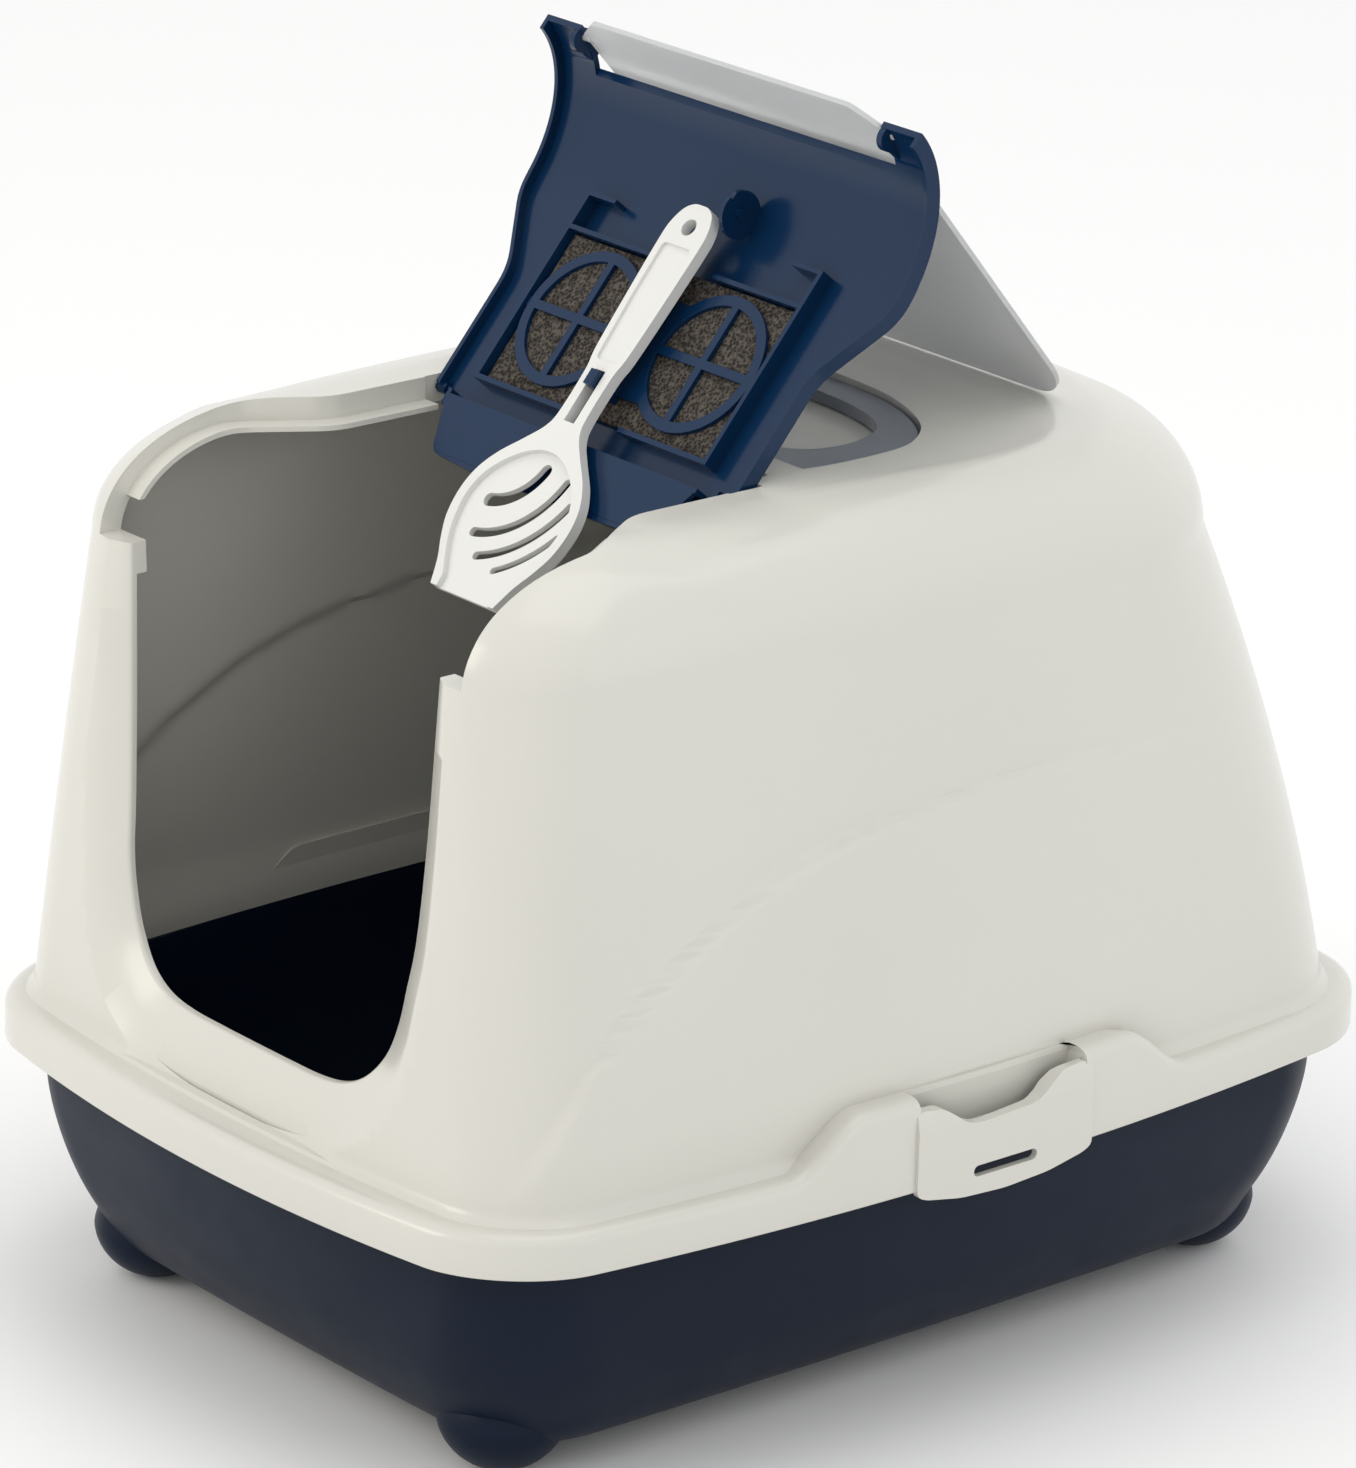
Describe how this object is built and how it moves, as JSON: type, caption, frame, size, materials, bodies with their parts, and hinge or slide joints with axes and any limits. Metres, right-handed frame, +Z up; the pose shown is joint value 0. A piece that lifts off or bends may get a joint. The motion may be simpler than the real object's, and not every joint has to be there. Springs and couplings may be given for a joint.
{
  "type": "hooded cat litter box",
  "caption": "Rounded hooded litter box: deep tray, latched shell with open entrance, flip-up lid with filter and scoop, swing flap, carry handle and side latches.",
  "frame": {"origin": "centre of the box on the floor, at the underside of the feet", "axes": "+Z up, the entrance faces -Y, +X to the right when facing the entrance (looking along +Y)"},
  "size_m": [0.4524, 0.58, 0.5902],
  "materials": {
    "tray": "satin moulded, dark blue",
    "hood": "glossy moulded, warm ivory",
    "lid": "glossy moulded, deep blue",
    "flap": "frosted, translucent",
    "filter": "open-cell foam, charcoal",
    "scoop": "glossy moulded, white",
    "handle": "satin moulded, grey blue",
    "latch": "glossy moulded, ivory"
  },
  "bodies": {
    "base": {"tray": "tray", "hood": "hood"},
    "lid": {"lid": "lid", "filter_pad": "filter", "filter_grille": "lid"},
    "flap": {"door_flap": "flap"},
    "scoop": {"scoop": "scoop"},
    "handle": {"handle": "handle"},
    "latch_right": {"latch_right": "latch"},
    "latch_left": {"latch_left": "latch"}
  },
  "joints": [
    {"name": "lid_hinge", "type": "hinge", "parent": "base", "child": "lid", "pos_m": [0, -0.064, 0.421], "axis": [1, 0, 0], "range_deg": [0, 130.4]},
    {"name": "flap_swing", "type": "hinge", "parent": "lid", "child": "flap", "pos_m": [0, 0.01842, 0.57802], "axis": [1, 0, 0], "range_deg": [0, 228]},
    {"name": "scoop_unclip", "type": "slide", "parent": "lid", "child": "scoop", "axis": [0, -0.7615, 0.6481], "range_m": [0, 0.05]},
    {"name": "handle_lift", "type": "hinge", "parent": "base", "child": "handle", "pos_m": [0, -0.02, 0.421], "axis": [1, 0, 0], "range_deg": [0, 60]},
    {"name": "latch_right_hinge", "type": "hinge", "parent": "base", "child": "latch_right", "pos_m": [0.2205, 0.005, 0.156], "axis": [0, -1, 0], "range_deg": [0, 90]},
    {"name": "latch_left_hinge", "type": "hinge", "parent": "base", "child": "latch_left", "pos_m": [-0.2205, 0.005, 0.156], "axis": [0, 1, 0], "range_deg": [0, 90]}
  ]
}
